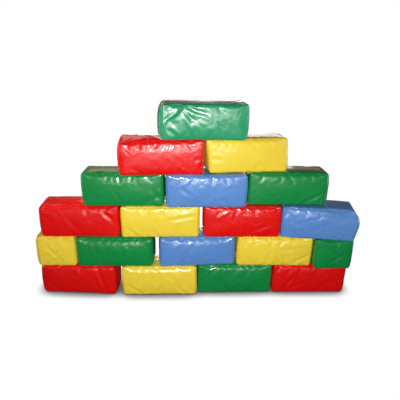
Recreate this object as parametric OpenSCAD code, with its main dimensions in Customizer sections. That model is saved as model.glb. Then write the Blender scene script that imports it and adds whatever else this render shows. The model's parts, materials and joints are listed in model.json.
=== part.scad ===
// Stepped wall of soft play blocks: foam cores in zipped vinyl covers, stacked loose in six rows.
// Millimetres, +Z up, +X along the wall to the right, -Y towards the viewer.
// The origin is on the floor, under the middle of the stack.

/* [Blocks] */
// Length of a full block between its end seams
block_length = 460; // [400:5:540]
// Length of a half block between its end seams
half_length = 223; // [190:1:270]
// Height of every block
block_height = 200; // [160:5:240]
// Depth of every block from its front seams to its back panel
block_depth = 175; // [140:5:220]
// Radius of the soft edges round the top and bottom panels
edge_radius = 14; // [8:1:24]
// Radius of the upright corners, seen from above
corner_radius = 18; // [10:1:32]
// Swell of the front panel past its seams
front_crown = 6; // [0:0.5:12]
// Swell of each end panel past its seams
end_crown = 6; // [0:0.5:10]

/* [Cover and core] */
// Thickness of the vinyl cover
cover_wall = 1; // [0.6:0.1:2]
// Room between the foam core and the inside of its cover
core_clearance = 0.3; // [0.1:0.1:0.6]

/* [Stack] */
// Gap between one row and the next
row_gap = 0.3; // [0.1:0.1:1]
// One step of the hand's placing, in which gaps, set-backs and row shifts are counted
placing_step = 1; // [0.5:0.1:1.5]

/* [Zip] */
// Height of the zip's centre line above the base of its block
zip_height = 48; // [46:1:80]
// Bare back panel left past each end of the zip tape
zip_margin = 42; // [40:1:60]
// Width of the zip tape
tape_width = 26; // [20:1:30]
// Thickness of the zip tape
tape_thickness = 0.8; // [0.4:0.1:1.5]
// Tape left past each end stop
tape_tail = 8; // [4:1:15]
// Width of the closed chain of teeth
chain_width = 6; // [4.5:0.5:8]
// Height of the closed chain of teeth
chain_height = 1.6; // [1:0.1:3]
// Width of the chain's root, between the lips of the slider
root_width = 2.8; // [2:0.1:4]
// Length of each end stop along the zip
stop_length = 5; // [3:0.5:8]
// How far an end stop reaches past the chain on each side
stop_reach = 1.5; // [1:0.1:3]

/* [Slider] */
// Length of the slider along the zip
slider_length = 16; // [12:0.5:22]
// Thickness of the slider's top plate and side walls
slider_wall = 1.4; // [1:0.1:2]
// Thickness of the slider's lips, which run under the teeth
lip_thickness = 1; // [0.6:0.1:1.6]
// Running clearance between the slider and the chain
slider_clearance = 0.3; // [0.15:0.05:0.5]
// Length of the slider's narrow tail
tail_length = 6; // [3:0.5:8]
// How much narrower the tail is on each side
tail_taper = 1.2; // [0.4:0.1:1.4]
// Length of the bridge on top of the slider
bridge_length = 8; // [6:0.5:10]
// Width of the bridge
bridge_width = 2.4; // [1.6:0.2:3.2]
// Height of the bridge
bridge_height = 3; // [2.5:0.1:4]
// Radius of the hole in the bridge, for a paper clip in place of a pull tab
bridge_hole_radius = 0.9; // [0.5:0.1:1.1]

/* [Hidden] */

RED = "#d81818";
YELLOW = "#ecd030";
GREEN = "#108838";
BLUE = "#5088cc";
FOAM = "#f0ead8";
METAL = "#b8bcc0";

// How many placing steps each row stands off the middle of the wall, bottom row first
ROW_SHIFT = [-10, -11, 25, 48, 30, 26];

// The blocks from left to right, bottom row first. Each line gives the name, the row, the length, the colour,
// the steps of gap to the block on its left, the steps it is set back and its turn in degrees.
BLOCKS = [
    ["1a", 0, block_length, RED, 0, 15, -4],
    ["1b", 0, block_length, YELLOW, 28, -5, 0.5],
    ["1c", 0, block_length, GREEN, 5, 20, 0.5],
    ["1d", 0, block_length, RED, 4, 20, 0.5],
    ["2a", 1, half_length, YELLOW, 0, 10, 0.5],
    ["2b", 1, block_length, GREEN, 2, -5, -1],
    ["2c", 1, block_length, BLUE, 25, 10, 4.5],
    ["2d", 1, block_length, YELLOW, 12, 10, -0.5],
    ["2e", 1, half_length, GREEN, 2, -30, -0.5],
    ["3a", 2, block_length, RED, 0, 5, 0],
    ["3b", 2, block_length, YELLOW, 2, 0, 1.5],
    ["3c", 2, block_length, RED, 22, 5, 0],
    ["3d", 2, block_length, BLUE, 2, -30, -8],
    ["4a", 3, block_length, GREEN, 0, 0, 0],
    ["4b", 3, block_length, BLUE, 11, -15, 1],
    ["4c", 3, block_length, GREEN, 12, 30, -0.5],
    ["5a", 4, block_length, RED, 0, -35, 3.5],
    ["5b", 4, block_length, YELLOW, 3, 30, 6.5],
    ["6a", 5, block_length, GREEN, 0, -40, 0.5],
];

function row_of(i) = BLOCKS[i][1];
function length_of(i) = BLOCKS[i][2];
function colour_of(i) = BLOCKS[i][3];
function gap_of(i) = placing_step * BLOCKS[i][4];
function set_back_of(i) = placing_step * BLOCKS[i][5];
function turn_of(i) = BLOCKS[i][6];
function row_shift_of(i) = placing_step * ROW_SHIFT[row_of(i)];

// The form of a block. It is a stack of level outlines: rounded rectangles that draw in over the soft edges at
// the top and bottom, and swell at the front and the ends halfway up. The back stays flat for the zip.
ARC_STEP = 45;
FRONT_STEPS = [-0.5, 0, 0.5];
LEAST_CORNER = 2;

// How much of the full swell a panel has at one height: none at top and bottom, all of it halfway up
function swell_at(level, height) = 4 * (level / height) * (1 - level / height);

// Heights of the outlines and how far each is drawn in: a quarter round at each end and straight sides between
function levels(height, radius) =
    let (half_arc = radius * (1 - cos(ARC_STEP)))
    [
        [0, radius],
        [half_arc, half_arc],
        [radius, 0],
        [height / 2, 0],
        [height - radius, 0],
        [height - half_arc, half_arc],
        [height, radius],
    ];

// The plain rounded rectangle, anticlockwise from the front left, with points along the front and the ends
function rounded_rectangle(half_x, half_y, radius) =
    let (cx = half_x - radius, cy = half_y - radius)
    concat(
        [for (t = FRONT_STEPS) [t * cx, -half_y]],
        [for (a = [-90:ARC_STEP:0]) [cx + radius * cos(a), -cy + radius * sin(a)]],
        [[half_x, 0]],
        [for (a = [0:ARC_STEP:90]) [cx + radius * cos(a), cy + radius * sin(a)]],
        [for (a = [90:ARC_STEP:180]) [-cx + radius * cos(a), cy + radius * sin(a)]],
        [[-half_x, 0]],
        [for (a = [180:ARC_STEP:270]) [-cx + radius * cos(a), -cy + radius * sin(a)]]
    );

// A point of an outline moved out by the swell of the front panel or of an end panel
function swollen(p, half_x, half_y, swell) =
    [
        p.x + end_crown * swell * (1 - pow(p.y / half_y, 2)) * p.x / half_x,
        p.y - front_crown * swell * (1 - pow(p.x / half_x, 2)) * max(0, -p.y / half_y),
    ];

// One level outline of a block whose whole form is drawn in by inset
function outline(length, inset, level, drawn_in) =
    let (
        half_x = length / 2 - inset - drawn_in,
        half_y = block_depth / 2 - inset - drawn_in,
        radius = max(corner_radius - inset - drawn_in, LEAST_CORNER),
        swell = swell_at(level, block_height - 2 * inset)
    )
    [for (p = rounded_rectangle(half_x, half_y, radius)) swollen(p, half_x, half_y, swell)];

function outlines(length, inset) =
    [
        for (l = levels(block_height - 2 * inset, edge_radius - inset))
            [for (p = outline(length, inset, l[0], l[1])) [p.x, p.y, inset + l[0]]]
    ];

// The closed solid through all the outlines of a block, or of the space inside it
module block_form(length, inset) {
    rings = outlines(length, inset);
    count = len(rings[0]);
    last = len(rings) - 1;
    points = [for (ring = rings) for (p = ring) p];
    sides = [
        for (k = [0:last - 1])
            for (j = [0:count - 1])
                let (
                    next = (j + 1) % count,
                    low = k * count,
                    high = low + count
                )
                each [[low + j, high + j, high + next], [low + j, high + next, low + next]]
    ];
    // The flat faces start from the middle of a corner, which lies in line with no side
    corner = len(FRONT_STEPS) + 1;
    base = [for (j = [0:count - 1]) (j + corner) % count];
    top = [for (j = [count:-1:1]) last * count + (j + corner) % count];
    polyhedron(points, concat(sides, [base, top]), convexity = 4);
}

// Sizes of the zip, measured out from the back panel
chain_root_height = lip_thickness + 2 * slider_clearance;
chain_top = tape_thickness + chain_root_height + chain_height;
slider_top = chain_top + slider_clearance + slider_wall;
slider_half_width = chain_width / 2 + slider_clearance + slider_wall;
zip_reach = slider_top + bridge_height;
tape_seat = cover_wall / 2;
function tape_length(i) = length_of(i) - 2 * zip_margin;
function chain_length(i) = tape_length(i) - 2 * tape_tail;
function slider_rest(i) = chain_length(i) / 2 - stop_length - slider_clearance - slider_length / 2;

// Where the blocks stand. Each is put down beside the one on its left, clear of it by its gap, and each row is
// then centred on its own shift. The whole stack is centred over the origin.
function turned(p, angle) = [p.x * cos(angle) - p.y * sin(angle), p.x * sin(angle) + p.y * cos(angle)];
function footprint(i) =
    let (
        body = outline(length_of(i), 0, block_height / 2, 0),
        zip_ends = [for (s = [-1, 1]) [s * tape_length(i) / 2, block_depth / 2 + zip_reach]]
    )
    [for (p = concat(body, zip_ends)) turned(p, turn_of(i))];
FOOTPRINT = [for (i = [0:len(BLOCKS) - 1]) footprint(i)];
LEFT = [for (f = FOOTPRINT) min([for (p = f) p.x])];
RIGHT = [for (f = FOOTPRINT) max([for (p = f) p.x])];
FRONT = [for (f = FOOTPRINT) min([for (p = f) p.y])];
BACK = [for (f = FOOTPRINT) max([for (p = f) p.y])];

function first_in_row(i) = i == 0 || row_of(i - 1) != row_of(i);
function last_in_row(i) = i == len(BLOCKS) - 1 || row_of(i + 1) != row_of(i);
function row_start(i) = first_in_row(i) ? i : row_start(i - 1);
function row_end(i) = last_in_row(i) ? i : row_end(i + 1);
function run(i) = first_in_row(i) ? -LEFT[i] : run(i - 1) + RIGHT[i - 1] + gap_of(i) - LEFT[i];
function row_width(i) = run(row_end(i)) + RIGHT[row_end(i)];
STAND_X = [for (i = [0:len(BLOCKS) - 1]) run(i) - row_width(i) / 2 + row_shift_of(i)];
STAND_Y = [for (i = [0:len(BLOCKS) - 1]) set_back_of(i)];
middle_x = (min(STAND_X + LEFT) + max(STAND_X + RIGHT)) / 2;
middle_y = (min(STAND_Y + FRONT) + max(STAND_Y + BACK)) / 2;

module stand(i) {
    translate([STAND_X[i] - middle_x, STAND_Y[i] - middle_y, row_of(i) * (block_height + row_gap)])
        rotate([0, 0, turn_of(i)])
            children();
}

// Puts a section drawn with its first axis out from the tape and its second axis upwards along the zip
module along_zip(length) {
    translate([0, block_depth / 2 + tape_thickness, zip_height])
        rotate([90, 0, 90])
            linear_extrude(length, center = true)
                children();
}

// The closed chain of teeth on its narrow root
module chain_section() {
    root = root_width / 2;
    teeth = chain_width / 2;
    under = chain_root_height;
    over = chain_root_height + chain_height;
    polygon([
        [-tape_thickness / 2, -root],
        [under, -root],
        [under, -teeth],
        [over, -teeth],
        [over, teeth],
        [under, teeth],
        [under, root],
        [-tape_thickness / 2, root],
    ]);
}

// The slider's channel, open below between its two lips
module slider_section() {
    mouth = root_width / 2 + slider_clearance;
    inside = chain_width / 2 + slider_clearance;
    outside = slider_half_width;
    lip_low = slider_clearance;
    lip_high = slider_clearance + lip_thickness;
    roof_low = chain_root_height + chain_height + slider_clearance;
    roof_high = roof_low + slider_wall;
    polygon([
        [lip_low, -outside],
        [roof_high, -outside],
        [roof_high, outside],
        [lip_low, outside],
        [lip_low, mouth],
        [lip_high, mouth],
        [lip_high, inside],
        [roof_low, inside],
        [roof_low, -inside],
        [lip_high, -inside],
        [lip_high, -mouth],
        [lip_low, -mouth],
    ]);
}

// Tape, chain and end stops of the zip, sewn to the flat back panel
module zip(i) {
    translate([-tape_length(i) / 2, block_depth / 2 - tape_seat, zip_height - tape_width / 2])
        cube([tape_length(i), tape_seat + tape_thickness, tape_width]);
    along_zip(chain_length(i)) chain_section();
    stop_width = chain_width + 2 * stop_reach;
    stop_height = chain_root_height + chain_height + tape_thickness / 2;
    for (side = [-1, 1])
        translate([
            side * (chain_length(i) - stop_length) / 2 - stop_length / 2,
            block_depth / 2 + tape_thickness / 2,
            zip_height - stop_width / 2
        ])
            cube([stop_length, stop_height, stop_width]);
}

// Sewn vinyl cover: a thin closed skin with the zip on its back
module cover(i) {
    color(colour_of(i))
        stand(i) {
            difference() {
                block_form(length_of(i), 0);
                block_form(length_of(i), cover_wall);
            }
            zip(i);
        }
}

// Foam block that fills the cover
module core(i) {
    color(FOAM)
        stand(i)
            block_form(length_of(i), cover_wall + core_clearance);
}

// Slider, seen from above: full width over the mouth, tapering to its tail
module slider_plan() {
    nose = slider_length / 2;
    wide = slider_half_width;
    tail = slider_half_width - tail_taper;
    polygon([
        [-nose, -tail],
        [-nose + tail_length, -wide],
        [nose, -wide],
        [nose, wide],
        [-nose + tail_length, wide],
        [-nose, tail],
    ]);
}

// Slider of the child-safe kind, with a drilled bridge in place of a pull tab, at the closed end of the zip
module zip_slider(i) {
    color(METAL)
        stand(i)
            translate([slider_rest(i), 0, 0]) {
                intersection() {
                    along_zip(slider_length) slider_section();
                    translate([0, block_depth / 2 + zip_reach, zip_height])
                        rotate([90, 0, 0])
                            linear_extrude(zip_reach)
                                slider_plan();
                }
                translate([0, block_depth / 2 + slider_top, zip_height])
                    difference() {
                        translate([-bridge_length / 2, -slider_wall / 2, -bridge_width / 2])
                            cube([bridge_length, bridge_height + slider_wall / 2, bridge_width]);
                        translate([0, bridge_height / 2, 0])
                            cylinder(h = 2 * bridge_width, r = bridge_hole_radius, center = true, $fn = 32);
                    }
            }
}

for (i = [0:len(BLOCKS) - 1]) {
    cover(i);
    core(i);
    zip_slider(i);
}
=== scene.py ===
import json
import math

import bpy
import numpy as np
from mathutils import Matrix

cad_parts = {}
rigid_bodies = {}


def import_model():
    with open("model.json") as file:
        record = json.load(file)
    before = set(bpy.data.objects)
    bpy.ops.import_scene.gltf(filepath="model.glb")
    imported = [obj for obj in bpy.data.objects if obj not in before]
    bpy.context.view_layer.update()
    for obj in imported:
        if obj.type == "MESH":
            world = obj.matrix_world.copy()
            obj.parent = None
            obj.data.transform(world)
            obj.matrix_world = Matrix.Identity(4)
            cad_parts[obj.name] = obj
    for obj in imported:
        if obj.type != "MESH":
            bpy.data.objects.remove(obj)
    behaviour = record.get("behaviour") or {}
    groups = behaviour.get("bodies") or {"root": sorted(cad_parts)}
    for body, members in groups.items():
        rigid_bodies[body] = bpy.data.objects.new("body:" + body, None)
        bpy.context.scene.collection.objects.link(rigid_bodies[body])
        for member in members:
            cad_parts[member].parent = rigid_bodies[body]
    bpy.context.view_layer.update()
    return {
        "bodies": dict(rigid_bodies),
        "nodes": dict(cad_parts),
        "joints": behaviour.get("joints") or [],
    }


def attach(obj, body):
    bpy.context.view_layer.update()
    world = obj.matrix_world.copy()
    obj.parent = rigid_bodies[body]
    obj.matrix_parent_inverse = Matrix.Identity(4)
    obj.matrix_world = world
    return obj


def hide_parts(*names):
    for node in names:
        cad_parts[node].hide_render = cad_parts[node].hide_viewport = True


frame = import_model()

# The wall is 19 loose blocks of foam in sewn vinyl covers, laid by hand in six rows with nothing to hold them
# but their weight. A block's turn is that of the zip along its back, and its middle is that of its foam core.
BLOCK_DEPTH = 0.175
BLOCK_HEIGHT = 0.200
END_CROWN = 0.006
FRONT_CROWN = 0.006
CORE_INSET = 0.0013
BLOCKS = sorted(body[len("block_"):] for body in frame["bodies"] if body.startswith("block_"))


class Place:
    """Where one block lies: the middle of its box, its turn about Z, and its half sizes."""

    def __init__(self, name):
        zip_axis = next(joint["axis"] for joint in frame["joints"] if joint["name"] == "zip_" + name)
        core = frame["nodes"]["core_" + name].data
        points = np.empty(len(core.vertices) * 3, np.float32)
        core.vertices.foreach_get("co", points)
        points = points.reshape(-1, 3).astype(float)
        self.turn = math.atan2(-zip_axis[1], -zip_axis[0])
        cosine, sine = math.cos(self.turn), math.sin(self.turn)
        self.axes = np.array([[cosine, sine, 0.0], [-sine, cosine, 0.0], [0.0, 0.0, 1.0]])
        local = points @ self.axes.T
        low, high = local.min(0), local.max(0)
        half_length = (high[0] - low[0]) / 2 + CORE_INSET - END_CROWN
        self.half = np.array([half_length, BLOCK_DEPTH / 2, BLOCK_HEIGHT / 2])
        middle = (low + high) / 2
        middle[1] = high[1] + CORE_INSET - BLOCK_DEPTH / 2
        self.centre = middle @ self.axes

    def put(self, local):
        """Points given from the block's own middle, turned by its turn and moved into the wall's frame."""
        return local @ self.axes + self.centre


PLACES = {name: Place(name) for name in BLOCKS}

# A foam core is a block of open-cell foam, sawn to size with a hot wire and eased at its edges by hand.
# It is packed into its cover through the zip and fills it, so that the cover keeps its shape.
FOAM_PITCH = 0.014
FOAM_EDGE = 0.030
FOAM_SQUEEZE = 0.007
FOAM_CREAM = (0.88, 0.82, 0.68, 1.0)
FOAM_AGED = (0.80, 0.71, 0.52, 1.0)
# How deep the marks of the wire are, and their waves: how many, the longest and the shortest.
SAW_DEPTH = 0.0006
SAW_WAVES = (12, 0.12, 0.03)
SAW_SEED = 400
# Where a block has been knocked out of shape: a place on its box in half sizes, how far it has moved, and
# over what reach, one for all axes or one for each. The overhanging end of 3d is tucked in above and below,
# 5b leans out, the tops of 5a and 5b lean together, and free top edges sag.
KNOCKS = {
    "1a": [((-1, -1, 1), (0.004, 0.0, -0.004), 0.08)],
    "3a": [((-1, -1, 1), (0.0, 0.004, -0.008), 0.09)],
    "3d": [((1, 0, 0), (-0.005, 0.0, 0.0), 0.16), ((1, 0, 1), (-0.042, 0.0, 0.0), (0.14, 0.30, 0.05)),
           ((1, -1, 1), (0.0, 0.018, -0.006), (0.15, 0.06, 0.05)), ((1, 0, -1), (-0.038, 0.0, 0.0), 0.12)],
    "5a": [((-1, -1, 1), (0.0, 0.004, -0.016), 0.10), ((1, 0, 1), (0.004, 0.0, 0.0), (0.10, 0.30, 0.06))],
    "5b": [((-1, -1, -1), (0.014, 0.0, 0.0), 0.11), ((1, -1, -1), (0.014, 0.0, 0.0), 0.11),
           ((-1, 0, 1), (-0.008, 0.0, 0.0), (0.10, 0.30, 0.06))],
    "6a": [((-1, -1, 1), (0.006, 0.002, -0.006), 0.07), ((-0.5, -1, 1), (0.0, 0.0, -0.007), 0.11),
           ((0.5, -1, 1), (0.0, 0.0, -0.007), 0.11)],
}


def box_lattice(counts):
    """The outside of a box of counts cells: its lattice points, each once, and its outward quads.

    A point is three whole numbers, and lies on the outside where one of them is 0 or that axis's count."""
    quads = []
    for axis in range(3):
        across, up = (axis + 1) % 3, (axis + 2) % 3
        column, row = np.meshgrid(np.arange(counts[across]), np.arange(counts[up]), indexing="ij")
        for side in (0, counts[axis]):
            corners = np.empty(column.shape + (4, 3), int)
            corners[..., axis] = side
            corners[..., across] = column[..., None] + np.array([0, 1, 1, 0])
            corners[..., up] = row[..., None] + np.array([0, 0, 1, 1])
            quads.append((corners if side else corners[..., ::-1, :]).reshape(-1, 4, 3))
    points, faces = np.unique(np.concatenate(quads).reshape(-1, 3), axis=0, return_inverse=True)
    return points, faces.reshape(-1, 4)


def lattice_counts(half, pitch):
    """How many cells of about pitch go along each side of a box."""
    return np.maximum(2, np.round(2 * np.asarray(half) / pitch)).astype(int)


def round_box(sharp, half, radius):
    """A sharp box's points drawn in to a rounded one, and the way out at each.

    A point is taken back to the box that is smaller by the radius all round, then out again on an ellipsoid
    whose half axes are the radius along x, y and z, which may differ from point to point."""
    inner = np.clip(sharp, radius - half, half - radius)
    share = (sharp - inner) / radius
    share /= np.linalg.norm(share, axis=1, keepdims=True)
    outward = share / radius
    outward /= np.linalg.norm(outward, axis=1, keepdims=True)
    return inner + share * radius, outward


def knocked(name, points):
    """A block's points after its knocks: each shifts the points by its move times a bell curve of the
    distance, counted in reaches."""
    shifted = points.copy()
    for place, move, reach in KNOCKS.get(name, []):
        away = np.linalg.norm((points - np.array(place) * PLACES[name].half) / np.array(reach), axis=1)
        shifted += np.exp(-away ** 2)[:, None] * np.array(move)
    return shifted


def mesh_piece(name, points, faces):
    """A smooth mesh object at the origin, from an array of points and one of faces."""
    mesh = bpy.data.meshes.new(name)
    mesh.from_pydata(points.tolist(), [], faces.tolist())
    mesh.shade_smooth()
    piece = bpy.data.objects.new(name, mesh)
    bpy.context.scene.collection.objects.link(piece)
    return piece


def waves(points, seed, count, longest, shortest):
    """Smooth seeded unevenness of about 1: a sum of plane waves in all directions, with lengths between
    the two."""
    draw = np.random.default_rng(seed)
    ways = draw.normal(size=(count, 3))
    ways /= np.linalg.norm(ways, axis=1, keepdims=True)
    lengths = np.exp(draw.uniform(math.log(shortest), math.log(longest), count))
    phases = draw.uniform(0, 2 * math.pi, count)
    return np.sin(points @ (ways / lengths[:, None] * 2 * math.pi).T + phases).sum(1) / math.sqrt(2 * count)


class Shade:
    """One output socket of a material. Arithmetic on it adds Math nodes, and node() adds any other node."""

    def __init__(self, tree, socket=None):
        self.tree = tree
        self.socket = socket

    def node(self, kind, settings=None, sockets=None, output=0):
        """Adds a node: its settings are set first, then each socket gets its value or link."""
        made = self.tree.nodes.new(kind)
        for setting, value in (settings or {}).items():
            if setting == "stops":
                ramp = made.color_ramp
                while len(ramp.elements) < len(value):
                    ramp.elements.new(0.5)
                for element, (position, colour) in zip(ramp.elements, value):
                    element.position = position
                    element.color = colour
            else:
                setattr(made, setting, value)
        for socket, value in (sockets or {}).items():
            if isinstance(value, Shade):
                self.tree.links.new(value.socket, made.inputs[socket])
            else:
                made.inputs[socket].default_value = value
        return Shade(self.tree, made.outputs[output])

    def math(self, operation, first, second):
        return self.node("ShaderNodeMath", {"operation": operation}, {0: first, 1: second})

    def __add__(self, other):
        return self.math("ADD", self, other)

    __radd__ = __add__

    def __mul__(self, other):
        return self.math("MULTIPLY", self, other)

    __rmul__ = __mul__


def new_material(name):
    """An empty node material, its Principled shader's sockets, and a Shade to add its nodes with."""
    material = bpy.data.materials.new(name)
    material.use_nodes = True
    shader = material.node_tree.nodes["Principled BSDF"]
    return material, shader.inputs, Shade(material.node_tree)


def feed(shade, socket):
    """Links a worked-out value or colour into a shader's socket."""
    shade.tree.links.new(shade.socket, socket)


def mixed(factor, first, second):
    """The colour that lies between two, at a share of the way given by the factor."""
    return factor.node("ShaderNodeMix", {"data_type": "RGBA"}, {"Factor": factor, "A": first, "B": second},
                       output="Result")


def foam_material():
    """Cream open-cell foam: pin-prick cells about a millimetre across over a faintly yellowed body."""
    material, shader, make = new_material("cream_foam")
    place = make.node("ShaderNodeTexCoord", output="Object")
    cells = make.node("ShaderNodeTexVoronoi", sockets={"Vector": place, "Scale": 700.0})
    ageing = make.node("ShaderNodeTexNoise", sockets={"Vector": place, "Scale": 9.0, "Detail": 3.0})
    feed(mixed(ageing, FOAM_CREAM, FOAM_AGED), shader["Base Color"])
    feed(0.85 + cells * 0.15, shader["Roughness"])
    pits = make.node("ShaderNodeBump", sockets={"Height": cells, "Strength": 0.6, "Distance": 0.0008})
    feed(pits, shader["Normal"])
    return material


FOAM = foam_material()
for number, name in enumerate(BLOCKS):
    place = PLACES[name]
    half = place.half - CORE_INSET - FOAM_SQUEEZE
    counts = lattice_counts(half, FOAM_PITCH)
    lattice, faces = box_lattice(counts)
    points, outward = round_box((lattice / counts * 2 - 1) * half, half, FOAM_EDGE)
    points += outward * (SAW_DEPTH * waves(points, SAW_SEED + number, *SAW_WAVES))[:, None]
    foam = mesh_piece("foam_core_" + name, place.put(knocked(name, points)), faces)
    foam.data.materials.append(FOAM)
    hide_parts("core_" + name)
    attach(foam, "block_" + name)

# A cover is glossy PVC-coated cloth: a front and a back panel sewn to one boxing strip that goes over the
# top, the ends and the base, then turned right side out. It is cut a little larger than its foam, so it is
# slack: it buckles into creases on the foam, and its seams pucker where the thread draws the vinyl in.
COVER_PITCH = 0.0075
ON_FACE = 1e-6
# How round the edges are. The uprights grow rounder towards the base, between two heights in half heights
# below the middle, and the long edge over the front grows crisper towards the corners.
COVER_EDGE = 0.011
BASE_EDGE = 0.018
ROUNDER_BELOW = (-0.3, 0.9)
FRONT_TOP_EDGE = 0.026
CORNER_REACH = 0.075
SOFT_FRONT_TOPS = {"1b": 0.036, "1c": 0.036, "2b": 0.050, "2c": 0.050, "2d": 0.034, "3a": 0.034, "4b": 0.024}
SOFT_UPRIGHTS = {"1a": 0.022, "2b": 0.026, "2c": 0.018}
# How far the ends swell: left and right where there is no neighbour, and at most into the gap to one.
OUTER_SWELL = 0.006
INNER_SWELL = 0.006
FREE_SWELL = {"1a": (0.010, 0.0), "2a": (0.012, 0.0), "4c": (0.0, 0.012), "5a": (0.012, 0.0),
              "5b": (0.0, 0.008), "6a": (0.019, 0.008)}
# How far a free top rises, and how the weight of a block fades from inside its end to outside it.
TOP_CROWN = 0.004
TOP_CROWNS = {"3a": 0.009, "5a": 0.008, "5b": 0.001, "6a": 0.001}
LOAD_INSIDE = 0.01
LOAD_OUTSIDE = 0.03
LOADED = 0.5
BEARING_MARGIN = 0.020
# The vinyl as a sheet of cloth, in Blender's own units.
COVER_PRESSURE = 0.5
VINYL_SHEET = {"quality": 4, "mass": 0.3, "tension_stiffness": 30, "compression_stiffness": 30,
               "shear_stiffness": 15, "bending_stiffness": 0.1, "use_pressure": True,
               "uniform_pressure_force": COVER_PRESSURE, "pin_stiffness": 1.0}
CLOTH_FRAMES = 18
TIGHT_LEVELS = 12
# How uneven the foam makes the vinyl: depths and seeds, and waves as how many, the longest and the shortest.
FINE_DEPTH = 0.0006
FINE_WAVES = (40, 0.12, 0.03)
FINE_SEED = 100
BROAD_DEPTH = 0.0012
BROAD_WAVES = (14, 0.30, 0.10)
BROAD_SEED = 200
# The gathers along the seams: how far they reach, how they come and go along the seam, and how few there
# are at the base, rising to all of them between two heights in half heights.
GATHER_REACH = 0.042
GATHER_WAVES = (10, 0.25, 0.07)
GATHER_SEED = 300
GATHER_MEAN = 0.55
GATHER_SPREAD = 0.6
GATHER_LIMITS = (0.1, 1.0)
LOW_GATHERS = 0.15
GATHERS_RISE = (-0.5, 0.6)
SLACK_LIMITS = (0.1, 1.6)
# A listed crease: its width, the square of the share of its depth at its tips, its banks in widths
# from its middle, and where it fades out round the rim of the front, in half depths.
CREASE_WIDTH = 0.012
CREASE_TIP = 0.05
BANK_HEIGHT = 0.5
BANK_PLACE = 1.9
CREASE_FACING = (0.8, 1.0)
SEAM_DEPTH = 0.0014
SEAM_WIDTH = 0.0030
# How far the buckled vinyl may leave its form: out on the front, out elsewhere, and in.
SWELL_ROOM = 0.010
SIDE_ROOM = 0.0015
DENT_ROOM = 0.0055
# The zip's height above the base, and the half width of the flat strip it lies on, beside which the vinyl's
# unevenness fades in. A point that isn't on the back counts as that many half widths further away.
ZIP_HEIGHT = 0.048
ZIP_FLAT = 0.022
ZIP_FADE = (0.8, 1.6)
OFF_BACK = 9
DYE_FADE = 0.88
# The colours of the vinyl. The pale green of 6a is partly a lighter green of its own and partly painted haze:
# it is made paler to stand in for the milky sheen over its front.
DYES_AND_PAINTED_HAZE = {
    "red": (0.74, 0.003, 0.002, 1.0),
    "yellow": (0.86, 0.66, 0.048, 1.0),
    "green": (0.003, 0.245, 0.050, 1.0),
    "blue": (0.10, 0.255, 0.60, 1.0),
    "pale_green": (0.022, 0.31, 0.132, 1.0),
}
# How uneven a cover is away from its seams, where it is smoother than the rest, and how far from them, in
# gathers' reaches, that begins and is complete.
EVEN_FROM = 0.5
EVEN_FULL = 1.5
EVENNESS = {"4a": 0.7, "4b": 0.7, "4c": 0.7, "5a": 0.45, "5b": 0.4}
# Where a cover's slack has worked its way to one side and up: how much more there is for each half size.
SLACK_DRIFT = {"6a": (-0.55, 0.60), "4a": (0.4, 0.1), "4c": (-0.4, 0.1), "3d": (-0.4, 0.2)}
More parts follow.
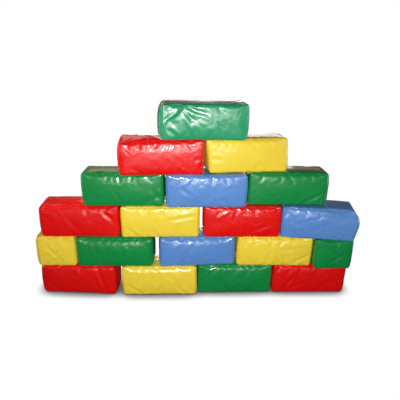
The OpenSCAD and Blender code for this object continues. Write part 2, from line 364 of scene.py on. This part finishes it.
# Colour, share by which the vinyl is too long near its seams and in its panels, how firmly the foam backs it,
# and its creases: each runs on the front from one point to another, in half lengths and half heights from the
# middle, with a depth, which is negative for a ridge.
COVERS = {
    "1a": ("red", 0.016, 0.008, 0.10, [(0.55, 0.9, 0.75, -0.8, 0.003)]),
    "1b": ("yellow", 0.010, 0.010, 0.10, [(-0.9, -0.2, -0.5, -0.8, 0.002), (0.45, -0.3, 0.75, -0.9, 0.002)]),
    "1c": ("green", 0.020, 0.008, 0.10, [(-0.35, -0.3, -0.15, -0.9, 0.002), (0.1, -0.4, 0.35, -0.9, 0.002)]),
    "1d": ("red", 0.024, 0.012, 0.10, [(-0.75, -0.85, -0.45, 0.3, 0.002), (-0.75, -0.85, -0.1, -0.2, 0.002)]),
    "2a": ("yellow", 0.024, 0.016, 0.10, [(-0.5, 0.4, 0.3, -0.6, 0.002), (-0.4, -0.3, 0.4, 0.2, 0.002)]),
    "2b": ("green", 0.010, 0.005, 0.10, []),
    "2c": ("blue", 0.016, 0.005, 0.10, []),
    "2d": ("yellow", 0.024, 0.010, 0.10, [(0.45, -0.75, 0.95, -0.2, 0.003), (0.1, 0.1, 0.9, 0.35, 0.002)]),
    "2e": ("green", 0.026, 0.018, 0.10, [(-0.5, 0.5, 0.3, -0.1, 0.002), (-0.3, -0.6, 0.5, 0.1, 0.002)]),
    "3a": ("red", 0.016, 0.006, 0.10, [(0.65, 0.55, 0.82, 0.2, 0.004)]),
    "3b": ("yellow", 0.024, 0.010, 0.10, [(0.2, 0.15, 0.95, 0.45, 0.003), (-0.85, -0.3, -0.6, -0.85, 0.002)]),
    "3c": ("red", 0.040, 0.010, 0.10, [(0.25, -0.5, 0.7, -0.15, 0.002)]),
    "3d": ("blue", 0.024, 0.012, 0.10, [(-0.7, -0.1, 0.1, 0.6, 0.0012), (-0.2, -0.3, 0.5, 0.4, 0.001),
                                        (0.05, 0.76, 0.97, 0.46, -0.0025)]),
    "4a": ("green", 0.022, 0.005, 0.10, [(0.75, 0.1, 0.95, -0.7, 0.003), (0.6, -0.6, 0.95, -0.3, 0.002)]),
    "4b": ("blue", 0.022, 0.005, 0.10, [(0.3, -0.3, 0.6, -0.9, 0.002), (-0.7, 0.3, -0.4, -0.2, 0.002)]),
    "4c": ("green", 0.024, 0.005, 0.10, [(0.35, -0.9, 0.95, -0.1, 0.003)]),
    "5a": ("red", 0.046, 0.003, 0.10, []),
    "5b": ("yellow", 0.012, 0.002, 0.10, [(-0.95, -0.1, -0.6, -0.2, 0.003)]),
    # The pale green of 6a is partly painted haze of its sheen.
    "6a": ("pale_green", 0.050, 0.026, 0.06, [(-0.52, 0.7, 0.15, 0.1, -0.002),
                                              (-0.50, 0.6, 0.0, -0.4, 0.0015),
                                              (-0.52, 0.7, -0.25, -0.6, -0.0015),
                                              (-0.55, 0.7, -0.9, 0.1, 0.002),
                                              (-0.48, 0.7, 0.3, 0.4, 0.0015),
                                              (-0.85, -0.3, -0.65, -0.8, 0.003)]),
}


def ramp(values, start, end):
    """0 before start, 1 after end, and a smooth rise between them."""
    share = np.clip((values - start) / (end - start), 0, 1)
    return share * share * (3 - 2 * share)


def load_above(name, points):
    """How much of the next row's weight lies over each point: 1 under a block, falling to 0 beside it."""
    here = PLACES[name]
    loaded = np.zeros(len(points))
    for other, there in PLACES.items():
        if int(other[0]) == int(name[0]) + 1:
            across = np.abs(points[:, 0] + here.centre[0] - there.centre[0])
            end = there.half[0]
            loaded = np.maximum(loaded, 1 - ramp(across, end - LOAD_INSIDE, end + LOAD_OUTSIDE))
    return loaded


def plan_corners(place):
    """Where the four corners of a block are along the wall, seen from above."""
    reach = place.half[:2] + np.array([END_CROWN, 0.0])
    return place.centre[0] + (np.array([[-1, -1], [1, -1], [1, 1], [-1, 1]]) * reach) @ place.axes[:2, 0]


def end_swell(name):
    """How much further the left and the right end swell: half of a narrow gap to a neighbour, not at all into
    a wide one, and freely where there is no neighbour."""
    here = plan_corners(PLACES[name])
    row = [plan_corners(place) for other, place in PLACES.items() if other[0] == name[0] and other != name]
    left = [here.min() - corners.max() for corners in row if corners.mean() < here.mean()]
    right = [corners.min() - here.max() for corners in row if corners.mean() > here.mean()]
    free = FREE_SWELL.get(name, (OUTER_SWELL, OUTER_SWELL))
    swell = []
    for gaps, out in zip((left, right), free):
        half_gap = max(min(gaps, default=2 * out) / 2, 0.0)
        swell.append(half_gap if half_gap <= INNER_SWELL or not gaps else 0.0)
    return swell


def cover_form(name, sharp):
    """The cover before it buckles, and the way out at each point: a rounded box, then knocked out of shape,
    whose front, free top and ends swell from seam to middle by 1 less an even power of the place across."""
    half = PLACES[name].half
    x, y, z = (sharp / half).T
    upright = SOFT_UPRIGHTS.get(name, COVER_EDGE)
    corner = upright + (max(BASE_EDGE, upright) - upright) * ramp(-z, *ROUNDER_BELOW)
    over_front = ((z > 0) & (y < 0)) * ramp(half[0] - np.abs(sharp[:, 0]), 0.0, CORNER_REACH)
    long_edge = corner + (SOFT_FRONT_TOPS.get(name, FRONT_TOP_EDGE) - corner) * over_front
    points, outward = round_box(sharp, half, np.stack([corner, long_edge, long_edge], 1))
    left, right = end_swell(name)
    points[:, 0] += (END_CROWN + np.where(x < 0, left, right)) * (1 - z ** 4) * (1 - y ** 4) * x
    points[:, 1] -= FRONT_CROWN * (1 - z * z) * (1 - x * x) * np.clip(-y, 0, 1)
    free = 1 - load_above(name, points)
    crown = TOP_CROWNS.get(name, TOP_CROWN)
    points[:, 2] += crown * free * (1 - x ** 4) * (1 - y * y) * np.clip(z, 0, 1) ** 4
    return knocked(name, points), outward


def creased(sharp, half, creases):
    """Rise of the listed creases: each is a bell-shaped valley along a line on the front, shallower at
    its tips, with a low bank on each side."""
    rise = np.zeros(len(sharp))
    facing = ramp(-sharp[:, 1] / half[1], *CREASE_FACING)
    flat = sharp[:, [0, 2]]
    for start_x, start_z, end_x, end_z, deep in creases:
        start = np.array([start_x, start_z]) * half[[0, 2]]
        line = np.array([end_x, end_z]) * half[[0, 2]] - start
        share = np.clip((flat - start) @ line / (line @ line), 0, 1)
        away = np.linalg.norm(flat - start - share[:, None] * line, axis=1) / CREASE_WIDTH
        body = np.sqrt(np.clip(4 * share * (1 - share), CREASE_TIP, 1))
        rise += deep * body * (BANK_HEIGHT * np.exp(-(away - BANK_PLACE) ** 2) - np.exp(-away * away))
    return rise * facing


def buckled(points, faces, sharp, held, slack, grip):
    """The cover as cloth that is too large for the foam it lies on: it is stretched in its plane by the
    slack, pressed out a little and held to its first place by weak springs, the foam, until it buckles.

    Gives the points, their places on the sharp box and the faces, after one subdivision."""
    cloth = mesh_piece("buckling_cover", points, faces)
    mark = cloth.data.attributes.new("sharp", "FLOAT_VECTOR", "POINT")
    mark.data.foreach_set("vector", sharp.astype(np.float32).ravel())
    scene = bpy.context.scene
    backing = cloth.vertex_groups.new(name="backing")
    backing.add(np.flatnonzero(~held).tolist(), grip, "REPLACE")
    backing.add(np.flatnonzero(held).tolist(), 1.0, "REPLACE")
    tightness = cloth.vertex_groups.new(name="tightness")
    levels = np.round(TIGHT_LEVELS * (1 - slack / slack.max())).astype(int)
    for level in range(TIGHT_LEVELS + 1):
        tightness.add(np.flatnonzero(levels == level).tolist(), level / TIGHT_LEVELS, "REPLACE")
    vinyl = cloth.modifiers.new("vinyl", "CLOTH")
    for setting, value in VINYL_SHEET.items():
        setattr(vinyl.settings, setting, value)
    vinyl.settings.vertex_group_mass = "backing"
    vinyl.settings.shrink_min = -slack.max()
    vinyl.settings.vertex_group_shrink = "tightness"
    vinyl.settings.effector_weights.gravity = 0
    vinyl.collision_settings.use_collision = False
    vinyl.point_cache.frame_start = 1
    vinyl.point_cache.frame_end = CLOTH_FRAMES
    finer = cloth.modifiers.new("finer", "SUBSURF")
    finer.levels = 1
    finer.render_levels = 1
    for step in range(1, CLOTH_FRAMES + 1):
        scene.frame_set(step)
    mesh = cloth.evaluated_get(bpy.context.evaluated_depsgraph_get()).to_mesh()
    settled = np.empty(len(mesh.vertices) * 3, np.float32)
    mesh.vertices.foreach_get("co", settled)
    fine_sharp = np.empty(len(mesh.vertices) * 3, np.float32)
    mesh.attributes["sharp"].data.foreach_get("vector", fine_sharp)
    fine_faces = np.empty(len(mesh.loops), np.int32)
    mesh.loops.foreach_get("vertex_index", fine_faces)
    old = cloth.data
    bpy.data.objects.remove(cloth)
    bpy.data.meshes.remove(old)
    scene.frame_set(1)
    settled = settled.reshape(-1, 3).astype(float)
    fine_sharp = fine_sharp.reshape(-1, 3).astype(float)
    return settled, fine_sharp, fine_faces.reshape(-1, 4)


def seam_distance(sharp, half):
    """How far each point is, over the surface, from the nearest seam of the front or the back panel."""
    to_rim = np.minimum(half[0] - np.abs(sharp[:, 0]), half[2] - np.abs(sharp[:, 2]))
    return half[1] - np.abs(sharp[:, 1]) + to_rim


def cover_points(name, number):
    """One cover's points about its own middle, and its faces: its form, made uneven, buckled, then kept
    within a little of the form by a tanh curve, with its seams drawn in by a bell curve. On its base, under
    the block above and along the zip the vinyl lies flat."""
    half = PLACES[name].half
    seam_slack, panel_slack, grip, creases = COVERS[name][1:]
    counts = lattice_counts(half, COVER_PITCH)
    lattice, faces = box_lattice(counts)
    sharp = (lattice / counts * 2 - 1) * half
    points, outward = cover_form(name, sharp)
    off_back = OFF_BACK * (sharp[:, 1] < half[1] - ON_FACE)
    zip_away = np.abs(sharp[:, 2] + half[2] - ZIP_HEIGHT) / ZIP_FLAT + off_back
    rise = FINE_DEPTH * waves(points, FINE_SEED + number, *FINE_WAVES)
    rise += BROAD_DEPTH * waves(points, BROAD_SEED + number, *BROAD_WAVES)
    to_seam = seam_distance(sharp, half)
    even = ramp(to_seam, EVEN_FROM * GATHER_REACH, EVEN_FULL * GATHER_REACH)
    rise *= 1 + (EVENNESS.get(name, 1.0) - 1) * even
    rise += creased(sharp, half, creases)
    points += outward * (rise * ramp(zip_away, *ZIP_FADE))[:, None]
    top = sharp[:, 2] > half[2] - ON_FACE
    base = sharp[:, 2] < ON_FACE - half[2]
    inside = np.abs(sharp[:, :2]) < half[:2] - BEARING_MARGIN
    bearing = (base | (top & (load_above(name, points) > LOADED))) & inside.all(1)
    held = bearing | ((zip_away < 1) & inside[:, 0])
    gathers = np.exp(-(to_seam / GATHER_REACH) ** 2)
    come_and_go = GATHER_MEAN + GATHER_SPREAD * waves(sharp, GATHER_SEED + number, *GATHER_WAVES)
    gathers *= np.clip(come_and_go, *GATHER_LIMITS)
    gathers *= LOW_GATHERS + (1 - LOW_GATHERS) * ramp(sharp[:, 2] / half[2], *GATHERS_RISE)
    slack = panel_slack + (seam_slack - panel_slack) * gathers
    drift = np.array(SLACK_DRIFT.get(name, (0.0, 0.0)))
    slack *= np.clip(1 + (sharp / half)[:, [0, 2]] @ drift, *SLACK_LIMITS)
    points, sharp, faces = buckled(points, faces, sharp, held, slack, grip)
    form, outward = cover_form(name, sharp)
    moved = ((points - form) * outward).sum(1)
    room_out = np.where(sharp[:, 1] < ON_FACE - half[1], SWELL_ROOM, SIDE_ROOM)
    room = np.where(moved < 0, DENT_ROOM, room_out)
    kept = room * np.tanh(moved / room)
    points += outward * (kept - moved)[:, None]
    points -= outward * (SEAM_DEPTH * np.exp(-(seam_distance(sharp, half) / SEAM_WIDTH) ** 2))[:, None]
    under = load_above(name, points) > LOADED
    points[:, 2] = np.where(under, np.minimum(points[:, 2], half[2]), points[:, 2])
    points[:, 2] = np.maximum(points[:, 2], -half[2])
    return points, faces


def vinyl_material(colour):
    """Glossy vinyl in one colour, which for 6a's pale green is partly painted haze: a satin body under a
    shiny skin, finely grained and slightly rippled.
    """
    material, shader, make = new_material("vinyl_" + colour)
    place = make.node("ShaderNodeTexCoord", output="Object")
    cloudy = make.node("ShaderNodeTexNoise", sockets={"Vector": place, "Scale": 7.0, "Detail": 2.0})
    grain = make.node("ShaderNodeTexNoise", sockets={"Vector": place, "Scale": 900.0, "Detail": 1.0})
    peel = make.node("ShaderNodeTexNoise", sockets={"Vector": place, "Scale": 55.0, "Detail": 2.0})
    vinyl_colour = DYES_AND_PAINTED_HAZE[colour]
    faded = tuple(DYE_FADE * part for part in vinyl_colour[:3]) + (1.0,)
    feed(mixed(cloudy, vinyl_colour, faded), shader["Base Color"])
    feed(0.32 + cloudy * 0.08, shader["Roughness"])
    shader["Coat Weight"].default_value = 0.50
    shader["Coat Roughness"].default_value = 0.07
    emboss = make.node("ShaderNodeBump", sockets={"Height": grain, "Strength": 0.12, "Distance": 0.0003})
    skin = make.node("ShaderNodeBump", sockets={"Height": peel, "Strength": 0.35, "Distance": 0.0012,
                                                "Normal": emboss})
    feed(skin, shader["Normal"])
    return material


VINYL = {colour: vinyl_material(colour) for colour in DYES_AND_PAINTED_HAZE}
for number, name in enumerate(BLOCKS):
    points, faces = cover_points(name, number)
    colour = COVERS[name][0]
    cover = mesh_piece("vinyl_cover_" + name, PLACES[name].put(points), faces)
    cover.data.materials.append(VINYL[colour])
    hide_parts("cover_" + name)
    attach(cover, "block_" + name)

# Each cover closes with a zip low on its back: two woven tapes sewn to the vinyl with a row of stitches each,
# and moulded teeth along their inner edges, locked into one chain with a stop at each end.
ZIP_MARGIN = 0.042
TAPE_WIDTH = 0.026
TAPE_THICKNESS = 0.0008
TAPE_SEAT = 0.0005
TAPE_TAIL = 0.008
TAPE_PITCH = 0.006
TAPE_EDGE = 0.0004
TAPE_DARK = 0.55
TAPE_LIGHT = 0.80
TAPE_LIFT = 0.01
ROOT_WIDTH = 0.0028
ROOT_TOP = 0.0024
CHAIN_TOP = 0.0040
CHAIN_WIDTH = 0.006
TOOTH_PITCH = 0.0022
TOOTH_LENGTH = 0.00095
TOOTH_OVERLAP = 0.0009
TOOTH_EDGE = 0.0003
TOOTH_WHITE = (0.70, 0.69, 0.66, 1.0)
TOOTH_RUBBED = (0.42, 0.42, 0.41, 1.0)
STOP_LENGTH = 0.005
STOP_WIDTH = 0.009
STOP_EDGE = 0.0008
STITCH_PITCH = 0.0036
STITCH_LENGTH = 0.0029
STITCH_WIDTH = 0.0007
STITCH_RISE = 0.0005
STITCH_INSET = 0.0030
STITCH_EDGE = 0.0002
STITCH_SINK = 0.0001
THREAD_SHADE = (0.58, 0.57, 0.54, 1.0)
THREAD_WHITE = (0.80, 0.79, 0.76, 1.0)


def soft_block(low, high, counts, radius):
    """A closed block between two corners, in a lattice of counts cells, its edges rounded by the radius."""
    low, high = np.array(low), np.array(high)
    half = (high - low) / 2
    lattice, faces = box_lattice(np.array(counts))
    points = round_box((lattice / np.array(counts) * 2 - 1) * half, half, radius)[0]
    return points + (low + high) / 2, faces


def joined(parts):
    """Several point and face arrays as one: the faces of each count on from the points before it."""
    starts = np.cumsum([0] + [len(points) for points, faces in parts[:-1]])
    points = np.concatenate([points for points, faces in parts])
    return points, np.concatenate([faces + start for (points, faces), start in zip(parts, starts)])


def repeated(points, faces, places):
    """One copy of a small shape at each place."""
    copies = (places[:, None] + points).reshape(-1, 3)
    return copies, (np.arange(len(places))[:, None, None] * len(points) + faces).reshape(-1, 4)


def row_of_places(length, pitch, offset, height):
    """Places along the zip at a pitch, centred on its middle, at one height above its centre line."""
    count = int(length / pitch)
    along = (np.arange(count) - (count - 1) / 2) * pitch + offset
    return np.stack([along, np.zeros(count), np.full(count, height)], 1)


def zip_chain(length):
    """Root strip, teeth and stops: the teeth of the two tapes take turns, each reaching past the middle."""
    root = soft_block((-length / 2, TAPE_THICKNESS / 2, -ROOT_WIDTH / 2),
                      (length / 2, ROOT_TOP, ROOT_WIDTH / 2),
                      (int(length / TAPE_PITCH), 2, 2), TOOTH_EDGE)
    run = length - 2 * STOP_LENGTH
    upper = soft_block((-TOOTH_LENGTH / 2, ROOT_TOP, -TOOTH_OVERLAP),
                       (TOOTH_LENGTH / 2, CHAIN_TOP, CHAIN_WIDTH / 2), (2, 2, 2), TOOTH_EDGE)
    lower = soft_block((-TOOTH_LENGTH / 2, ROOT_TOP, -CHAIN_WIDTH / 2),
                       (TOOTH_LENGTH / 2, CHAIN_TOP, TOOTH_OVERLAP), (2, 2, 2), TOOTH_EDGE)
    parts = [root, repeated(*upper, row_of_places(run, TOOTH_PITCH, TOOTH_PITCH / 4, 0.0)),
             repeated(*lower, row_of_places(run, TOOTH_PITCH, -TOOTH_PITCH / 4, 0.0))]
    for middle in ((STOP_LENGTH - length) / 2, (length - STOP_LENGTH) / 2):
        parts.append(soft_block((middle - STOP_LENGTH / 2, TAPE_THICKNESS / 2, -STOP_WIDTH / 2),
                                (middle + STOP_LENGTH / 2, CHAIN_TOP, STOP_WIDTH / 2), (4, 4, 6), STOP_EDGE))
    return joined(parts)


def zip_stitches(length):
    """Two rows of lock stitches near the tape's long edges: each is a low hump, a parabola along the stitch,
    with its ends in the tape."""
    hump, faces = soft_block((-STITCH_LENGTH / 2, 0.0, -STITCH_WIDTH / 2),
                             (STITCH_LENGTH / 2, STITCH_RISE, STITCH_WIDTH / 2), (4, 1, 2), STITCH_EDGE)
    hump[:, 1] += TAPE_THICKNESS - STITCH_SINK - STITCH_RISE * (hump[:, 0] / (STITCH_LENGTH / 2)) ** 2
    edge = TAPE_WIDTH / 2 - STITCH_INSET
    return joined([repeated(hump, faces, row_of_places(length - 2 * STITCH_INSET, STITCH_PITCH, 0.0, height))
                   for height in (-edge, edge)])


def tape_material(colour):
    """Woven polyester tape, a little darker than its cover, with fine slanting ribs."""
    material, shader, make = new_material("zip_tape_" + colour)
    place = make.node("ShaderNodeTexCoord", output="Object")
    ribs = make.node("ShaderNodeTexWave", {"wave_type": "BANDS", "bands_direction": "DIAGONAL"},
                     {"Vector": place, "Scale": 330.0, "Distortion": 0.4, "Detail": 1.0})
    dark = tuple(TAPE_DARK * part for part in DYES_AND_PAINTED_HAZE[colour][:3]) + (1.0,)
    light = tuple(TAPE_LIGHT * part + TAPE_LIFT for part in DYES_AND_PAINTED_HAZE[colour][:3]) + (1.0,)
    feed(mixed(ribs, dark, light), shader["Base Color"])
    feed(0.78 + ribs * 0.12, shader["Roughness"])
    weave = make.node("ShaderNodeBump", sockets={"Height": ribs, "Strength": 0.5, "Distance": 0.0002})
    feed(weave, shader["Normal"])
    return material


def thread_material():
    """White bonded polyester thread: two plies twisted, with a soft sheen."""
    material, shader, make = new_material("white_thread")
    place = make.node("ShaderNodeTexCoord", output="Object")
    plies = make.node("ShaderNodeTexWave", {"wave_type": "BANDS", "bands_direction": "DIAGONAL"},
                      {"Vector": place, "Scale": 900.0})
    feed(mixed(plies, THREAD_SHADE, THREAD_WHITE), shader["Base Color"])
    feed(0.45 + plies * 0.15, shader["Roughness"])
    twist = make.node("ShaderNodeBump", sockets={"Height": plies, "Strength": 0.4, "Distance": 0.0001})
    feed(twist, shader["Normal"])
    return material


def tooth_material():
    """Moulded acetal teeth, off-white and slightly glossy, greyed in patches by the slider."""
    material, shader, make = new_material("moulded_teeth")
    place = make.node("ShaderNodeTexCoord", output="Object")
    rubbed = make.node("ShaderNodeTexNoise", sockets={"Vector": place, "Scale": 60.0, "Detail": 4.0})
    feed(mixed(rubbed, TOOTH_WHITE, TOOTH_RUBBED), shader["Base Color"])
    feed(0.28 + rubbed * 0.25, shader["Roughness"])
    return material


TAPES = {colour: tape_material(colour) for colour in DYES_AND_PAINTED_HAZE}
THREAD = thread_material()
TEETH = tooth_material()
for name in BLOCKS:
    place = PLACES[name]
    seat = np.array([0.0, place.half[1], ZIP_HEIGHT - place.half[2]])
    tape_length = 2 * (place.half[0] - ZIP_MARGIN)
    tape = soft_block((-tape_length / 2, -TAPE_SEAT, -TAPE_WIDTH / 2),
                      (tape_length / 2, TAPE_THICKNESS, TAPE_WIDTH / 2),
                      (int(tape_length / TAPE_PITCH), 2, 8), TAPE_EDGE)
    colour = COVERS[name][0]
    made = [("zip_tape_", tape, TAPES[colour]), ("zip_stitches_", zip_stitches(tape_length), THREAD),
            ("zip_chain_", zip_chain(tape_length - 2 * TAPE_TAIL), TEETH)]
    for kind, (points, faces), material in made:
        piece = mesh_piece(kind + name, place.put(points + seat), faces)
        piece.data.materials.append(material)
        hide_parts("cover_" + name)
        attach(piece, "block_" + name)

# A slider is die-cast zinc, tumbled and nickel plated. It has a drilled bridge in place of a pull tab, so
# that a child can't open it, and its shape is the one the frame gives.
NICKEL_BRIGHT = (0.66, 0.64, 0.60, 1.0)
NICKEL_DULL = (0.48, 0.47, 0.45, 1.0)


def plated_metal():
    """Satin nickel plate: fine tumbling marks over a slightly warm grey, duller in cloudy patches."""
    material, shader, make = new_material("nickel_plate")
    place = make.node("ShaderNodeTexCoord", output="Object")
    marks = make.node("ShaderNodeTexNoise", sockets={"Vector": place, "Scale": 2600.0, "Detail": 2.0})
    dull = make.node("ShaderNodeTexNoise", sockets={"Vector": place, "Scale": 240.0, "Detail": 3.0})
    feed(mixed(dull, NICKEL_BRIGHT, NICKEL_DULL), shader["Base Color"])
    shader["Metallic"].default_value = 1.0
    feed(0.22 + dull * 0.28, shader["Roughness"])
    tumbled = make.node("ShaderNodeBump", sockets={"Height": marks, "Strength": 0.25, "Distance": 0.0001})
    feed(tumbled, shader["Normal"])
    return material


NICKEL = plated_metal()
for name in BLOCKS:
    slider = frame["nodes"]["zip_slider_" + name]
    slider.data.materials.clear()
    slider.data.materials.append(NICKEL)

# The floor is a plain white sheet that glows evenly and goes over into a white room, with a shadow painted
# into its glow only where the wall stands on it. Its stops give the painted shade for the share of the room
# that a place on it can see.
FLOOR_REACH = 30.0
SHADOW_REACH = 0.08
WHITE = (1.0, 1.0, 1.0, 1.0)
BLACK = (0.0, 0.0, 0.0, 1.0)
FLOOR_PAINTED_SHADOW_STOPS = [(0.25, (0.10, 0.10, 0.10, 1.0)), (0.55, (0.35, 0.35, 0.35, 1.0)), (0.92, WHITE)]


def floor_with_painted_shadow_material():
    """An even white glow, with a shadow painted into it by how much of the room a place on the floor can see
    past the wall's foot.
    """
    material, shader, make = new_material("pale_floor")
    shader["Base Color"].default_value = BLACK
    shader["Specular IOR Level"].default_value = 0.0
    shader["Emission Strength"].default_value = 1.0
    # Painted shadow: the glow's colour is darkened where the wall's foot hides the room from the floor.
    open_sky = make.node("ShaderNodeAmbientOcclusion", {"samples": 16}, {"Distance": SHADOW_REACH},
                         output="AO")
    shade = make.node("ShaderNodeValToRGB", {"stops": FLOOR_PAINTED_SHADOW_STOPS}, {"Fac": open_sky})
    feed(shade, shader["Emission Color"])
    return material


corner = FLOOR_REACH * np.array([[-1.0, -1.0, 0.0], [1.0, -1.0, 0.0], [1.0, 1.0, 0.0], [-1.0, 1.0, 0.0]])
floor = mesh_piece("floor", corner, np.array([[0, 1, 2, 3]]))
floor.data.materials.append(floor_with_painted_shadow_material())
floor.visible_glossy = False
floor.visible_diffuse = False

# The room is white to the eye, and dim and warm in the vinyl. A small lamp just under the camera lights the
# fronts and puts the glints on them, a shaded one lights the tops on the left, wide ones light the ends and
# the back, and the panels show in the gloss.
world = bpy.data.worlds.new("studio")
world.use_nodes = True
bpy.context.scene.world = world
# Colour of the room from straight down, 0, through level, 0.5, to straight up, 1.
ROOM_STOPS = [(0.45, (0.02, 0.02, 0.02, 1.0)), (0.52, (0.30, 0.13, 0.10, 1.0)),
              (0.645, (0.22, 0.11, 0.09, 1.0)), (0.66, (0.05, 0.03, 0.04, 1.0)),
              (0.85, (0.06, 0.05, 0.05, 1.0))]
sky = Shade(world.node_tree)
seen = sky.node("ShaderNodeLightPath", output="Is Camera Ray")
way = sky.node("ShaderNodeTexCoord", output="Generated")
height = sky.node("ShaderNodeSeparateXYZ", sockets={"Vector": way}, output="Z")
room = sky.node("ShaderNodeValToRGB", {"stops": ROOM_STOPS}, {"Fac": height * 0.5 + 0.5})
feed(mixed(seen, room, WHITE), world.node_tree.nodes["Background"].inputs["Color"])


def soft_light(name, place, aim, width, height, power, spread=180.0, tint=(1.0, 1.0, 1.0)):
    """A rectangular lamp at a place, turned to face the aim, whose shade limits its light to the spread."""
    lamp = bpy.data.lights.new(name, "AREA")
    lamp.shape = "RECTANGLE"
    lamp.size = width
    lamp.size_y = height
    lamp.energy = power
    lamp.spread = math.radians(spread)
    lamp.color = tint
    holder = bpy.data.objects.new(name, lamp)
    bpy.context.scene.collection.objects.link(holder)
    holder.location = place
    holder.visible_camera = False
    direction = np.array(aim) - np.array(place)
    level = math.hypot(direction[0], direction[1])
    holder.rotation_euler = (math.atan2(level, -direction[2]), 0.0, math.atan2(-direction[0], direction[1]))


soft_light("key_light", (-0.10, -2.25, 1.24), (0.0, 0.0, 0.65), 0.12, 0.09, 53.0)
soft_light("left_light", (-1.9, 0.4, 1.75), (-0.6, 0.0, 0.85), 0.7, 0.5, 3.3, spread=45.0,
           tint=(1.0, 0.5, 0.45))
soft_light("left_end_light", (-3.2, 0.1, 0.50), (-0.6, 0.0, 0.4), 2.0, 0.9, 12.0)
soft_light("right_end_light", (3.2, 0.1, 0.50), (0.6, 0.0, 0.4), 2.0, 0.9, 16.0)
soft_light("back_light", (0.1, 2.7, 0.80), (0.0, 0.0, 0.55), 1.6, 0.8, 34.0)
soft_light("front_panel", (0.0, -4.0, 0.60), (0.0, 0.0, 0.8), 3.0, 0.5, 18.0)
soft_light("back_panel", (0.60, 5.0, 1.76), (0.3, 0.0, 1.1), 2.6, 0.72, 14.4)
soft_light("left_panel", (-1.3, 4.0, 2.6), (-0.6, 0.0, 0.8), 1.0, 1.3, 4.5, tint=(1.0, 0.64, 0.56))
soft_light("right_panel", (2.0, 4.6, 1.98), (0.6, 0.0, 0.8), 0.9, 0.45, 0.75, tint=(1.0, 0.62, 0.48))

# The camera stands where the photograph was taken from: at eye height, a little to the left, looking down.
# Its place, turns and lens are the ones that fit the corners of all the blocks, in a square picture.
CAMERA_PLACE = (-0.068, -2.231, 1.448)
CAMERA_DOWN = math.radians(20.50)
CAMERA_TURN = math.radians(1.96)
CAMERA_ROLL = math.radians(0.96)
FOCAL_PIXELS = 393.5
IMAGE_PIXELS = 400.0
SENSOR = 36.0
view = bpy.data.cameras.new("camera")
view.sensor_width = SENSOR
view.lens = FOCAL_PIXELS / IMAGE_PIXELS * SENSOR
camera = bpy.data.objects.new("camera", view)
bpy.context.scene.collection.objects.link(camera)
camera.location = CAMERA_PLACE
down = Matrix.Rotation(math.pi / 2 - CAMERA_DOWN, 3, "X")
aim = Matrix.Rotation(-CAMERA_TURN, 3, "Z") @ down @ Matrix.Rotation(CAMERA_ROLL, 3, "Z")
camera.rotation_euler = aim.to_euler()
bpy.context.scene.camera = camera
bpy.context.scene.view_settings.view_transform = "Standard"
